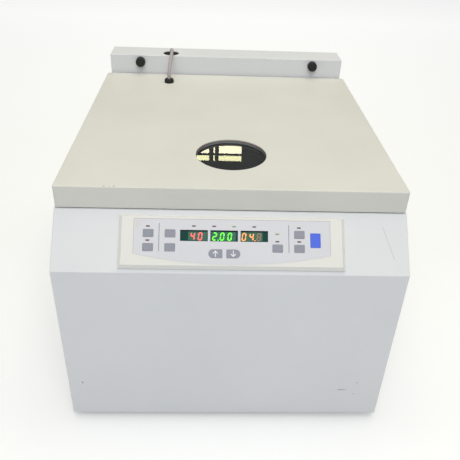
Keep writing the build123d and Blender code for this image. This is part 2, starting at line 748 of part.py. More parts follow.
def control_bezel():
    """The moulded bezel round the control panel, hollow behind."""
    bezel = bezel_block()
    bezel -= slab(0, slope_mid(), (BEZEL_HALF_W - POCKET_IN) * 2, board_h() + 2, -1, FACE_BACK)
    for cut in window_cuts(LOOSE, -1, BEZEL_N + 1):
        bezel -= cut
    return bezel


def membrane_overlay():
    """The thin printed sheet on the bezel, with a bowed lower edge."""
    half = OVERLAY_HALF_W
    sides = Polyline((-half, OVERLAY_SIDE_LOW), (-half, OVERLAY_TOP), (half, OVERLAY_TOP), (half, OVERLAY_SIDE_LOW))
    bow = ThreePointArc((half, OVERLAY_SIDE_LOW), (0, OVERLAY_LOW), (-half, OVERLAY_SIDE_LOW))
    face = make_face(sides + bow)
    face = fillet([corner for corner in face.vertices() if corner.Y > OVERLAY_TOP - 1], OVERLAY_CORNER)
    face = fillet([corner for corner in face.vertices() if corner.Y < OVERLAY_SIDE_LOW + 1], 1.0)
    sheet = SLOPE.location * Pos(0, 0, BEZEL_N) * extrude(face, OVERLAY_T, dir=(0, 0, 1))
    for cut in window_cuts(KEY_SLIP, BEZEL_N - 1, BEZEL_N + 2):
        sheet -= cut
    return sheet


def display_lenses():
    """The three tinted display windows."""
    size = (DISPLAY_W - SLIP, DISPLAY_H - SLIP)
    return [slab(x, DISPLAY_V, *size, FACE_BACK, OVERLAY_N - 0.1) for x in DISPLAY_XS]


def display_modules():
    """The digit modules behind the windows."""
    return [slab(x, DISPLAY_V, DISPLAY_W, DISPLAY_H + 2, -BOARD_BEHIND, FACE_BACK) for x in DISPLAY_XS]


def indicator_lamps():
    """Light pipes from the board to the overlay."""
    size = (LAMP_W - SLIP, LAMP_H - SLIP)
    return [slab(x, v, *size, -BOARD_BEHIND, OVERLAY_N - 0.1) for x, v in LAMP_SPOTS]


def key(name):
    """One key cap with the rim that holds it behind the bezel."""
    cap = key_block(name, 0, FACE_BACK - 0.3, OVERLAY_N + KEY_PROUD)
    return cap + key_block(name, KEY_RIM, FACE_BACK - 1.2, FACE_BACK - 0.3)


def control_board():
    """The control board with its standoffs and the switch under each key."""
    board = slab(0, slope_mid(), board_w(), board_h(), -BOARD_BEHIND - BOARD_T, -BOARD_BEHIND)
    for x in (-board_w() / 2 + 4, board_w() / 2 - 4):
        for v in (slope_mid() - board_h() / 2 + 4, slope_mid() + board_h() / 2 - 4):
            board += peg(x, v, STANDOFF_R, -BOARD_BEHIND, FACE_BACK)
    for x, v, width, height in key_sizes().values():
        board += peg(x, v, 3.0, -BOARD_BEHIND, FACE_BACK - 1.2 - KEY_TRAVEL - LOOSE)
    return board


def power_supply():
    """The supply board on the base with its larger components."""
    x0 = HALF_W - 25 - SUPPLY_W
    x1 = HALF_W - 25
    y0 = 50
    z = FOOT_H + SHEET
    board = box(x0, x1, y0, y0 + SUPPLY_D, z + 8, z + 10)
    for x in (x0 + 6, x1 - 6):
        for y in (y0 + 6, y0 + SUPPLY_D - 6):
            board += disc(3, z, z + 8, x, y)
    board += box(x0 + 12, x0 + 52, y0 + 15, y0 + 65, z + 10, z + 45)
    board += disc(12, z + 10, z + 40, x1 - 18, y0 + 30)
    board += disc(12, z + 10, z + 40, x1 - 18, y0 + 60)
    return board + box(x0 + 12, x0 + 15, y0 + 80, y0 + SUPPLY_D - 15, z + 10, z + 50)


def fan_frame():
    """The fan's square frame with its spider and fixed pin."""
    z = FOOT_H + FAN_UP
    half = FAN_W / 2
    front = BACK_IN - FAN_D
    frame = box(FAN_X - half, FAN_X + half, front, BACK_IN, z - half, z + half)
    frame -= rod_y(half - 2.5, front - 1, BACK_IN + 1, FAN_X, z)
    spider = rod_y(14, front, front + 3, FAN_X, z)
    for turn in (20, 110):
        spider += Pos(FAN_X, front + 1.5, z) * Rot(0, turn, 0) * Box(FAN_W - 4, 3, 4)
    spider += rod_y(2, front, front + 18, FAN_X, z)
    return frame + spider


def fan_impeller():
    """The fan's hub and slanting blades."""
    z = FOOT_H + FAN_UP
    front = BACK_IN - FAN_D
    mid = front + 12
    hub = rod_y(15, front + 4, front + 20, FAN_X, z)
    for i in range(BLADE_COUNT):
        turn = Rot(0, 360 / BLADE_COUNT * i, 0)
        blade = Pos(FAN_X, mid, z) * turn * Pos(24, 0, 0) * Rot(38, 0, 0) * Box(22, 1.6, 19)
        hub += blade
    hub &= rod_y(FAN_W / 2 - 4, front + 3.8, BACK_IN - 3, FAN_X, z)
    return hub - rod_y(2 + RUN, front, front + 18.3, FAN_X, z)


def power_inlet():
    """The mains inlet, with its socket below and the switch well above."""
    z = FOOT_H + INLET_UP
    half_w = INLET_W / 2
    half_h = INLET_H / 2
    block = box(INLET_X - half_w, INLET_X + half_w, CASE_D - INLET_D, CASE_D, z - half_h, z + half_h)
    rim = INLET_RIM
    block += box(
        INLET_X - half_w - rim, INLET_X + half_w + rim, CASE_D, CASE_D + 2, z - half_h - rim, z + half_h + rim
    )
    low = z - half_h / 2
    block -= box(
        INLET_X - SOCKET_W / 2, INLET_X + SOCKET_W / 2, CASE_D - 18, CASE_D + 3, low - SOCKET_H / 2, low + SOCKET_H / 2
    )
    for x, dz in ((-7, -2), (0, 2), (7, -2)):
        block += box(INLET_X + x - 1, INLET_X + x + 1, CASE_D - 18, CASE_D - 4, low + dz - 2, low + dz + 2)
    half_rocker = ROCKER_W / 2 + 0.4
    well = ROCKER_H / 2 + 1.2
    high = z + half_h / 2
    block -= box(
        INLET_X - half_rocker, INLET_X + half_rocker, CASE_D - 11, CASE_D + 3, high - well, high + well
    )
    return block


def power_rocker():
    """The power switch's rocker, tipped to one end of its swing."""
    high = FOOT_H + INLET_UP + INLET_H / 4
    half = ROCKER_H / 2
    outline = [
        (0, -ROCKER_T / 2, -half * 0.6),
        (0, ROCKER_T / 2 - 1, -half),
        (0, ROCKER_T / 2, -half),
        (0, ROCKER_T / 2 - 1.6, 0),
        (0, ROCKER_T / 2, half),
        (0, ROCKER_T / 2 - 1, half),
        (0, -ROCKER_T / 2, half * 0.6),
    ]
    cap = extrude(make_face(Polyline(*outline, close=True)), ROCKER_W, dir=(1, 0, 0))
    return Pos(INLET_X - ROCKER_W / 2, CASE_D - 1, high) * Rot(ROCKER_SWING, 0, 0) * cap


def save(name, shape):
    """Write one subcomponent, moved so that the origin is under the middle of the whole."""
    pieces = shape if isinstance(shape, list) else [shape]
    solids = [solid for piece in pieces for solid in piece.solids()]
    whole = solids[0] if len(solids) == 1 else Compound(solids)
    moved = Pos(0, -TOTAL_D / 2, 0) * whole
    moved.label = name
    export_step(moved, f"parts/{name}.step")


def main():
    """Build every subcomponent and write it to a file of its own."""
    os.makedirs("parts", exist_ok=True)
    makers = (
        base_pan,
        rubber_feet,
        housing_shell,
        rear_panel,
        rear_screws,
        top_deck,
        rear_console,
        lid_bumpers,
        hinge_brackets,
        hinge_pins,
        control_bezel,
        membrane_overlay,
        display_lenses,
        display_modules,
        indicator_lamps,
        control_board,
        chamber_pan,
        chamber_gasket,
        heater_band,
        insulation_jacket,
        spindle_post,
        spindle_bearings,
        vacuum_port,
        motor_housing,
        motor_mount,
        power_supply,
        fan_frame,
        power_inlet,
        lid_cover,
        lid_plate,
        lid_spacers,
        lid_heater,
        window_glass,
        window_ring,
        hinge_leaves,
        lead_bushing,
        lid_lead,
        rotor_hub,
        rotor_lower_plate,
        rotor_upper_plate,
        rotor_posts,
        rotor_knob,
        driven_magnet,
        motor_shaft,
        drive_magnet,
        fan_impeller,
        power_rocker,
    )
    for maker in makers:
        save(maker.__name__, maker())
    for name in key_sizes():
        save(name, key(name))


main()
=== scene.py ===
"""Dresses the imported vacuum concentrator: paint, control panel, window, lid lead, wear, light and camera."""

import logging
import math
from collections.abc import Iterable, Sequence
from dataclasses import dataclass, field
from enum import Enum

import bpy
from mathutils import Matrix, Vector


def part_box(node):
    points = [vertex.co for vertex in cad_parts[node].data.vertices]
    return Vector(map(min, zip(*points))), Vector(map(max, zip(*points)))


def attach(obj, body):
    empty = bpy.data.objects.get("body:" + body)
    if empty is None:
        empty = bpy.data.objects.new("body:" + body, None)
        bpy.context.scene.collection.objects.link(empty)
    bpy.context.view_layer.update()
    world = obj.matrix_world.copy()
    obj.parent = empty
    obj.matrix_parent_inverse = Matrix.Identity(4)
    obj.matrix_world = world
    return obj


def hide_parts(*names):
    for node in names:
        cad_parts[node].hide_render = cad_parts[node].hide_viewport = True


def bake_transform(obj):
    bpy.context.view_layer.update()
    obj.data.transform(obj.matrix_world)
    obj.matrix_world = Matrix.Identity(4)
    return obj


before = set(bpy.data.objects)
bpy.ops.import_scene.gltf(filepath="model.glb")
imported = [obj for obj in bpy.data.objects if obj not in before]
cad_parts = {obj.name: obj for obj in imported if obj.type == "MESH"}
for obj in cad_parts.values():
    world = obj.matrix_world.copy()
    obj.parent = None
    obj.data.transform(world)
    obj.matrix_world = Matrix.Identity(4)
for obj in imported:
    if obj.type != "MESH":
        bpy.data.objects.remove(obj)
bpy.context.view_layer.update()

LOG = logging.getLogger("scene")
MM = 0.001
HOUSING = "housing"
LID = "lid"
PHOTO_SIZE = 460

Point = tuple[float, float, float]
Color = tuple[float, float, float]
Outline = list[tuple[float, float]]
Spot = tuple[float, float, float, float]

# Thicknesses of marks, print, painted shadow lines and digit fields, in millimetres.
MARK_THICK = 0.03
PRINT_THICK = 0.02
STAIN_THICK = 0.015
SHADOW_AND_FIELD_THICK = 0.01

# What every finish shares.
MOTTLE_DETAIL = 6
MOTTLE_ROUGHNESS = 0.62
MOTTLE_LIMITS = (0.3, 0.7)
LIGHTER_SHARE = 0.5
SHEEN_SPREAD = 0.06
LEAST_ROUGHNESS = 0.02
GRAIN_DETAIL = 3
BRUSH_STRETCH = (0.04, 1.0, 1.0)


def srgb(red: int, green: int, blue: int) -> Color:
    """Turn a colour as seen on a screen into linear light.

    Args:
        red: Red from 0 to 255.
        green: Green from 0 to 255.
        blue: Blue from 0 to 255.

    Returns:
        The linear red, green and blue.
    """

    def channel(value: int) -> float:
        """Linearise one channel."""
        share = value / 255
        return share / 12.92 if share <= 0.04045 else ((share + 0.055) / 1.055) ** 2.4

    return channel(red), channel(green), channel(blue)


class Segment(Enum):
    """The seven strokes of a display digit, by their usual letters."""

    TOP = "a"
    RIGHT_HIGH = "b"
    RIGHT_LOW = "c"
    BOTTOM = "d"
    LEFT_LOW = "e"
    LEFT_HIGH = "f"
    MIDDLE = "g"


class Side(Enum):
    """Which way an arrow points up or down the slope."""

    UP = 1
    DOWN = -1


DIGITS: dict[str, str] = {"0": "abcdef", "2": "abged", "4": "fgbc", "8": "abcdefg"}

# An arrow's shaft and its left and right barbs, in millimetres, for an arrow that points up.
ARROW_STRIPS: tuple[Outline, ...] = (
    [(-0.45, -3.8), (0.45, -3.8), (0.45, 2.6), (-0.45, 2.6)],
    [(-3.3, 0.5), (-2.6, -0.2), (0.0, 2.5), (0.0, 3.8)],
    [(3.3, 0.5), (0.0, 3.8), (0.0, 2.5), (2.6, -0.2)],
)


@dataclass(frozen=True)
class Finish:
    """A surface finish made of procedural nodes, with sizes in metres."""

    name: str
    color: Color
    roughness: float = 0.5
    metallic: float = 0.0
    grain: float = 0.0
    grain_depth: float = 0.0
    mottle: float = 0.0
    mottle_size: float = 0.12
    brushed: bool = False
    glow: float = 0.0
    transmission: float = 0.0
    ior: float = 1.5

    def build(self) -> bpy.types.Material:
        """Make the material, or find it if it was made before.

        Returns:
            The Blender material.
        """
        name = f"{self.name}_finish"
        made = bpy.data.materials.get(name)
        if made is not None:
            return made
        made = bpy.data.materials.new(name)
        made.use_nodes = True
        nodes, links = made.node_tree.nodes, made.node_tree.links
        shader = nodes["Principled BSDF"]
        shader.inputs["Base Color"].default_value = (*self.color, 1.0)
        shader.inputs["Roughness"].default_value = self.roughness
        shader.inputs["Metallic"].default_value = self.metallic
        shader.inputs["IOR"].default_value = self.ior
        shader.inputs["Transmission Weight"].default_value = self.transmission
        if self.glow:
            shader.inputs["Emission Color"].default_value = (*self.color, 1.0)
            shader.inputs["Emission Strength"].default_value = self.glow
        place = nodes.new("ShaderNodeTexCoord")
        if self.mottle:
            self._mottle(nodes, links, shader, place)
        if self.grain_depth:
            self._grain(nodes, links, shader, place)
        return made

    def _mottle(self, nodes: bpy.types.Nodes, links: bpy.types.NodeLinks, shader: bpy.types.Node,
                place: bpy.types.Node) -> None:
        """Vary the colour and roughness a little over the surface.

        Args:
            nodes: The material's nodes.
            links: The material's links.
            shader: The surface shader.
            place: The texture coordinate node.
        """
        noise = nodes.new("ShaderNodeTexNoise")
        noise.inputs["Scale"].default_value = 1 / self.mottle_size
        noise.inputs["Detail"].default_value = MOTTLE_DETAIL
        noise.inputs["Roughness"].default_value = MOTTLE_ROUGHNESS
        links.new(place.outputs["Object"], noise.inputs["Vector"])
        tint = nodes.new("ShaderNodeValToRGB")
        low, high = tint.color_ramp.elements
        low.position, high.position = MOTTLE_LIMITS
        low.color = (*[c * (1 - self.mottle) for c in self.color], 1)
        high.color = (*[min(1, c * (1 + LIGHTER_SHARE * self.mottle)) for c in self.color], 1)
        links.new(noise.outputs["Fac"], tint.inputs["Fac"])
        links.new(tint.outputs["Color"], shader.inputs["Base Color"])
        spread = nodes.new("ShaderNodeMapRange")
        spread.inputs["To Min"].default_value = max(LEAST_ROUGHNESS, self.roughness - SHEEN_SPREAD)
        spread.inputs["To Max"].default_value = min(1.0, self.roughness + SHEEN_SPREAD)
        links.new(noise.outputs["Fac"], spread.inputs["Value"])
        links.new(spread.outputs["Result"], shader.inputs["Roughness"])

    def _grain(self, nodes: bpy.types.Nodes, links: bpy.types.NodeLinks, shader: bpy.types.Node,
               place: bpy.types.Node) -> None:
        """Raise a fine grain, or brush lines on a brushed metal.

        Args:
            nodes: The material's nodes.
            links: The material's links.
            shader: The surface shader.
            place: The texture coordinate node.
        """
        noise = nodes.new("ShaderNodeTexNoise")
        noise.inputs["Scale"].default_value = 1 / self.grain
        noise.inputs["Detail"].default_value = GRAIN_DETAIL
        source = place.outputs["Object"]
        if self.brushed:
            stretch = nodes.new("ShaderNodeMapping")
            stretch.inputs["Scale"].default_value = BRUSH_STRETCH
            links.new(source, stretch.inputs["Vector"])
            source = stretch.outputs["Vector"]
        links.new(source, noise.inputs["Vector"])
        bump = nodes.new("ShaderNodeBump")
        bump.inputs["Strength"].default_value = 1.0
        bump.inputs["Distance"].default_value = self.grain_depth
        links.new(noise.outputs["Fac"], bump.inputs["Height"])
        links.new(bump.outputs["Normal"], shader.inputs["Normal"])


PAINT = Finish("case_paint", (0.75, 0.755, 0.775), 0.5, grain=0.0011, grain_depth=0.00005,
               mottle=0.035, mottle_size=0.2)
# Painted light: the lid paint is warmer than the case paint, a warm cast of the overhead light on the lid's
# top. It is also darker than the case paint.
LID_PAINT_WARM_LIGHT = Finish("lid_paint", (0.695, 0.69, 0.635), 0.5, grain=0.0011, grain_depth=0.00005, mottle=0.04)
ZINC = Finish("zinc_sheet", (0.55, 0.56, 0.57), 0.34, metallic=1.0, mottle=0.12, mottle_size=0.02)
RUBBER = Finish("black_rubber", (0.012, 0.012, 0.013), 0.55, grain=0.0012, grain_depth=0.00004)
STEEL = Finish("machined_steel", (0.55, 0.55, 0.56), 0.28, metallic=1.0, grain=0.001,
               grain_depth=0.00002, brushed=True)
SCREW = Finish("dark_screw", (0.05, 0.05, 0.055), 0.35, metallic=0.8)
BEZEL = Finish("bezel_plastic", (0.775, 0.765, 0.73), 0.48, grain=0.0006, grain_depth=0.00002, mottle=0.02)
OVERLAY = Finish("overlay_film", (0.685, 0.68, 0.72), 0.46, grain=0.0004, grain_depth=0.00001, mottle=0.02)
LENS = Finish("tinted_lens", srgb(22, 66, 58), 0.12)
# Painted shadow: the dark strip along each display's top stands in for the shade of the recess above the lens.
LENS_SHADOW = Finish("lens_painted_shadow", srgb(12, 36, 34), 0.12)
LENS_FIELD = Finish("lens_digit_field", srgb(62, 108, 90), 0.2)
MODULE = Finish("module_black", (0.02, 0.02, 0.02), 0.5)
LAMP = Finish("lamp_dark", srgb(110, 88, 84), 0.35)
LAMP_GREEN = Finish("lamp_green", srgb(140, 165, 110), 0.35, glow=0.15)
BOARD = Finish("board_green", (0.02, 0.12, 0.05), 0.35, mottle=0.1, mottle_size=0.01)
RING_METAL = Finish("ring_metal", (0.40, 0.41, 0.43), 0.3, metallic=0.35, grain=0.0008,
                    grain_depth=0.00001, brushed=True)
SEAL = Finish("seal_rubber", (0.03, 0.028, 0.026), 0.6)
RED_SEAL = Finish("red_seal", (0.17, 0.055, 0.035), 0.4)
CHAMBER_COAT = Finish("chamber_coating", (0.035, 0.036, 0.036), 0.42, grain=0.0015, grain_depth=0.00002)
PLATE_COAT = Finish("plate_coating", (0.16, 0.165, 0.17), 0.4, metallic=0.6, grain=0.0015,
                    grain_depth=0.00002)
SILICONE = Finish("heater_silicone", (0.30, 0.05, 0.03), 0.55)
FOAM = Finish("foam", (0.42, 0.40, 0.36), 0.9, grain=0.002, grain_depth=0.0003)
OUTLET = Finish("outlet_plastic", (0.60, 0.59, 0.55), 0.45)
BLACK = Finish("black_plastic", (0.018, 0.018, 0.02), 0.42, grain=0.0009, grain_depth=0.00003)
TINTED_PANE = Finish("tinted_pane", (0.46, 0.48, 0.43), 0.01, transmission=1.0, ior=1.52)
GLASS = Finish("window_glass", (0.93, 0.97, 0.95), 0.015, transmission=1.0, ior=1.52)
JACKET = Finish("lead_jacket", srgb(174, 166, 168), 0.5, grain=0.0008, grain_depth=0.00002,
                mottle=0.05, mottle_size=0.02)
# Painted shade: the rotor is far darker than bare aluminium, standing in for the shade inside the closed
# chamber.
ROTOR_SHADED = Finish("rotor_aluminium", (0.10, 0.10, 0.105), 0.36, metallic=0.8, grain=0.001, grain_depth=0.00002)
KEY_GREY = Finish("key_grey", (0.295, 0.305, 0.36), 0.46, grain=0.0004, grain_depth=0.00001)
KEY_BLUE = Finish("key_blue", (0.085, 0.155, 0.76), 0.42, grain=0.0004, grain_depth=0.00001)
MAGNET = Finish("magnet_steel", (0.25, 0.25, 0.26), 0.4, metallic=0.9)
PRINT_LINE = Finish("divider_ink", (0.24, 0.24, 0.36), 0.5)
# Painted shadow: a dark line along the film's top and sides, where the recess edge shades it.
FILM_EDGE_SHADOW = Finish("film_edge_shadow", (0.36, 0.32, 0.34), 0.5)
ARROW_WHITE = Finish("arrow_ink", (0.86, 0.86, 0.88), 0.5)
DIGIT_RED = Finish("digit_red", srgb(255, 92, 100), 0.5, glow=1.0)
DIGIT_GREEN = Finish("digit_green", srgb(104, 244, 60), 0.5, glow=1.0)
DIGIT_ORANGE = Finish("digit_orange", srgb(255, 150, 84), 0.5, glow=1.0)
DIGIT_FAINT = Finish("digit_unlit", srgb(150, 110, 86), 0.5, glow=0.25)
CHIP = Finish("paint_chip", srgb(112, 90, 74), 0.8)
STAIN = Finish("faint_stain", srgb(176, 176, 170), 0.6)
FILM_STAIN = Finish("film_stain", (0.68, 0.645, 0.65), 0.5)
SCRATCH = Finish("scratch", srgb(176, 172, 160), 0.6)
PALE_FLOOR = Finish("pale_floor", (0.80, 0.80, 0.80), 0.9)


def paint(names: Iterable[str], finish: Finish) -> None:
    """Give CAD nodes a finish.

    Args:
        names: The nodes.
        finish: The finish they take.
    """
    material = finish.build()
    for name in names:
        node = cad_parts[name]
        for place in node.material_slots:
            place.material = material
        LOG.info("%s takes %s", name, finish.name)


def piece(name: str, points: Sequence[Vector], faces: Sequence[Sequence[int]], finish: Finish,
          smooth: bool = False) -> bpy.types.Object:
    """Make a mesh piece in the shared frame.

    Args:
        name: The piece's name.
        points: Its points in metres.
        faces: Its faces, as point numbers.
        finish: Its finish.
        smooth: Whether its faces are shaded smooth.

    Returns:
        The new object, which rides on nothing yet.
    """
    mesh = bpy.data.meshes.new(name)
    mesh.from_pydata([tuple(p) for p in points], [], [list(f) for f in faces])
    mesh.polygons.foreach_set("use_smooth", [smooth] * len(mesh.polygons))
    mesh.materials.append(finish.build())
    mesh.update()
    made = bpy.data.objects.new(name, mesh)
    bpy.context.scene.collection.objects.link(made)
    LOG.info("built %s with %d faces", name, len(faces))
    return made


@dataclass(frozen=True)
class Plane:
    """A flat place on the object, with its own across, up and out directions."""

    origin: Vector
    across: Vector
    up: Vector

    @property
    def out(self) -> Vector:
        """The direction out of the surface."""
        return self.across.cross(self.up)

    def point(self, x: float, v: float, n: float) -> Vector:
        """A point on the plane.

        Args:
            x: Millimetres across.
            v: Millimetres up the plane.
            n: Millimetres out of it.

        Returns:
            The point in the shared frame, in metres.
        """
        return self.origin + (self.across * x + self.up * v + self.out * n) * MM

    def plate(self, name: str, outlines: Sequence[Outline], n: float, thick: float,
              finish: Finish) -> bpy.types.Object:
        """Thin closed plates that lie on the plane, such as print or a display's strokes.

        Args:
            name: The piece's name.
            outlines: Each plate's outline, counterclockwise, in millimetres.
            n: How far out of the plane the plates' backs are, in millimetres.
            thick: Their thickness in millimetres.
            finish: Their finish.

        Returns:
            The new object.
        """
        points: list[Vector] = []
        faces: list[list[int]] = []
        for outline in outlines:
            start, count = len(points), len(outline)
            points += [self.point(x, v, n) for x, v in outline]
            points += [self.point(x, v, n + thick) for x, v in outline]
            faces.append([start + i for i in reversed(range(count))])
            faces.append([start + count + i for i in range(count)])
            for i in range(count):
                j = (i + 1) % count
                faces.append([start + i, start + j, start + count + j, start + count + i])
        return piece(name, points, faces, finish)


def slope_plane(run: float = 53.0, rise: float = 55.0) -> Plane:
    """The control slope, from the case's front plane and the deck's height.

    Args:
        run: How far back the slope runs, in millimetres.
        rise: How far it rises, in millimetres.

    Returns:
        The plane, with its origin at the middle of the slope's lower edge.
    """
    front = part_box("housing_shell")[0][1]
    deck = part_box("top_deck")[1][2]
    up = Vector((0, run, rise)).normalized()
    return Plane(Vector((0, front, deck - rise * MM)), Vector((1, 0, 0)), up)


def blot(x: float, v: float, wide: float, high: float, seed: int, turns: int = 11) -> Outline:
    """An uneven rounded outline, such as a chip's or a stain's.

    Args:
        x: Its centre across.
        v: Its centre upwards.
        wide: Half its width.
        high: Half its height.
        seed: A number that changes its shape.
        turns: How many points it has.

    Returns:
        The outline, counterclockwise.
    """
    outline = []
    for i in range(turns):
        angle = 2 * math.pi * i / turns
        size = 1 + 0.24 * math.sin(3 * angle + seed) + 0.13 * math.sin(5 * angle + 2.3 * seed)
        outline.append((x + wide * size * math.cos(angle), v + high * size * math.sin(angle)))
    return outline


def box_outline(x: float, v: float, width: float, height: float) -> Outline:
    """A rectangle's outline round its centre."""
    a, b = width / 2, height / 2
    return [(x - a, v - b), (x + a, v - b), (x + a, v + b), (x - a, v + b)]


@dataclass
class CaseShell:
    """The painted case, its console, base and feet, with the marks on its paint."""

    painted: tuple[str, ...] = ("housing_shell", "rear_panel", "top_deck", "rear_console")
    stain_spots: tuple[Spot, ...] = (
        (-196.0, 60.0, 1.3, 2.1),
        (160.0, 48.0, 6.5, 1.1),
        (180.0, 62.0, 1.0, 1.2),
        (178.0, 40.0, 1.1, 0.9),
    )
    scratch_from: tuple[float, float] = (184.0, 60.0)
    scratch_to: tuple[float, float] = (197.0, 20.0)
    scratch_bend: tuple[float, float] = (0.45, 0.5)
    scratch_bow: float = 0.5
    scratch_half: float = 0.2

    def dress(self) -> None:
        """Paint the case and lay its marks."""
        paint(self.painted, PAINT)
        paint(["base_pan"], ZINC)
        paint(["rubber_feet", "lid_bumpers"], RUBBER)
        paint(["rear_screws"], SCREW)
        self._marks()

    def _marks(self) -> None:
        """Lay the small stains on the front and the scratch on the slope."""
        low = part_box("housing_shell")[0]
        front = Plane(Vector((0, low[1], low[2])), Vector((1, 0, 0)), Vector((0, 0, 1)))
        spots = [blot(*spot, i) for i, spot in enumerate(self.stain_spots)]
        stains = front.plate("front_stains", spots, 0.0, MARK_THICK, STAIN)
        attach(stains, HOUSING)
        scratch = slope_plane().plate("slope_scratch", [self._scratch()], 0.0, MARK_THICK, SCRATCH)
        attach(scratch, HOUSING)

    def _scratch(self) -> Outline:
        """The outline of the scratch, a thin strip that bends once.

        Returns:
            The outline, up the strip's left side and down its right.
        """
        (x0, v0), (x1, v1) = self.scratch_from, self.scratch_to
        along, down = self.scratch_bend
        bend = (x0 + (x1 - x0) * along + self.scratch_bow, v0 + (v1 - v0) * down)
        path = [(x0, v0), bend, (x1, v1)]
        left = [(x - self.scratch_half, v) for x, v in reversed(path)]
        return left + [(x + self.scratch_half, v) for x, v in path]


@dataclass
class Lid:
    """The lid: painted cover, sealed plate, hinge leaves and bushing, with chips on its front edge."""

    chips: tuple[Spot, ...] = (
        (-153.5, 0.9, 1.7, 0.5),
        (-147.0, 0.9, 0.9, 0.4),
        (-141.5, 0.9, 1.5, 0.5),
    )
    chip_in: float = 1.4
    chip_seed: int = 4

    def dress(self) -> None:
        """Paint the lid and lay its chips."""
        # The cover's paint carries a painted warm cast of the overhead light.
        paint(["lid_cover"], LID_PAINT_WARM_LIGHT)
        paint(["lid_plate"], PLATE_COAT)
        paint(["lid_spacers", "hinge_leaves", "hinge_pins", "hinge_brackets"], STEEL)
        paint(["lid_heater"], SILICONE)
        paint(["lead_bushing"], RUBBER)
        low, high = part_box("lid_cover")
        top = Plane(Vector((0, low[1] + self.chip_in * MM, high[2])), Vector((1, 0, 0)), Vector((0, 1, 0)))
        spots = [blot(*spot, i + self.chip_seed) for i, spot in enumerate(self.chips)]
        chips = top.plate("lid_edge_chips", spots, 0.0, MARK_THICK, CHIP)
        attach(chips, LID)


@dataclass
class Window:
    """The lid's glass, its ring and the bright source that it mirrors."""

    card_y: float = 1.5
    warm_low: float = 1.0
    warm_high: float = 1.106
    cool_low: float = 1.118
    cool_high: float = 1.143
    card_spans: tuple[tuple[float, float], ...] = ((-0.21, -0.029), (-0.009, -0.003), (0.015, 0.117))
    warm_glow: float = 8.0
    cool_glow: float = 7.5
    turns: int = 96
    seal_sides: int = 8
    seal_radius: float = 46.75
    seal_thick: float = 0.35
    seal_down: float = 1.9
    pane_radius: float = 46.2
    pane_down: float = 4.75
    pane_thick: float = 1.2

    def dress(self) -> None:
        """Give the glass and its ring their finishes, and stand the source behind."""
        paint(["window_glass"], GLASS)
        paint(["window_ring"], RING_METAL)
        self._seal()
        self._pane()
        self._card()

    def _middle(self) -> tuple[float, float]:
        """The glass's centre, across and back, in metres."""
        low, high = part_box("window_glass")
        return (low[0] + high[0]) / 2, (low[1] + high[1]) / 2

    def _ring_point(self, middle: tuple[float, float], reach: float, index: int, height: float) -> Vector:
        """A point on a level ring round the glass's centre.

        Args:
            middle: The centre, across and back.
            reach: The ring's radius in metres.
            index: The point's number round the ring.
            height: The ring's height in metres.

        Returns:
            The point, in metres.
        """
        turn = 2 * math.pi * index / self.turns
        return Vector((middle[0] + reach * math.cos(turn), middle[1] + reach * math.sin(turn), height))

    def _seal(self) -> None:
        """Lay the thin red seal between the ring's collar and the cover."""
        middle = self._middle()
        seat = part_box("lid_cover")[1][2] - self.seal_down * MM
        sides = self.seal_sides
        points: list[Vector] = []
        faces: list[list[int]] = []
        for i in range(self.turns):
            j = (i + 1) % self.turns
            for k in range(sides):
                angle = 2 * math.pi * k / sides
                reach = (self.seal_radius + self.seal_thick * math.cos(angle)) * MM
                height = seat + self.seal_thick * math.sin(angle) * MM
                points.append(self._ring_point(middle, reach, i, height))
                m = (k + 1) % sides
                faces.append([i * sides + k, j * sides + k, j * sides + m, i * sides + m])
        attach(piece("window_seal", points, faces, RED_SEAL, smooth=True), LID)

    def _pane(self) -> None:
        """Lay the thin tinted pane that closes the collar above the thick glass."""
        middle = self._middle()
        reach = self.pane_radius * MM
        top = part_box("lid_cover")[1][2] - self.pane_down * MM
        heights = (top - self.pane_thick * MM, top)
        count = self.turns
        points = [self._ring_point(middle, reach, i, height) for height in heights for i in range(count)]
        faces = [list(reversed(range(count))), [count + i for i in range(count)]]
        faces += [[i, (i + 1) % count, count + (i + 1) % count, count + i] for i in range(count)]
        pane = piece("window_pane", points, faces, TINTED_PANE)
        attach(pane, LID)

    def _card(self) -> None:
        """Stand a barred bright card behind the object, which only the glass and the pane mirror."""
        mirrors = bpy.data.collections.new("mirrors")
        mirrors.objects.link(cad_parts["window_glass"])
        mirrors.objects.link(bpy.data.objects["window_pane"])
        warm = Finish("window_light", (1.0, 0.90, 0.64), 0.8, glow=self.warm_glow)
        cool = Finish("window_light_low", (0.90, 0.88, 0.50), 0.8, glow=self.cool_glow)
        rows = (
            ("mirrored_light", self.warm_low, self.warm_high, warm),
            ("mirrored_sill", self.cool_low, self.cool_high, cool),
        )
        for name, low, high, finish in rows:
            points: list[Vector] = []
            faces: list[list[int]] = []
            for left, right in self.card_spans:
                start = len(points)
                corners = ((left, low), (right, low), (right, high), (left, high))
                points += [Vector((x, self.card_y, z)) for x, z in corners]
                faces.append(list(range(start, start + len(corners))))
            card = piece(name, points, faces, finish)
            card.visible_camera = False
            card.visible_diffuse = False
            card.visible_shadow = False
            card.visible_transmission = False
            card.light_linking.receiver_collection = mirrors


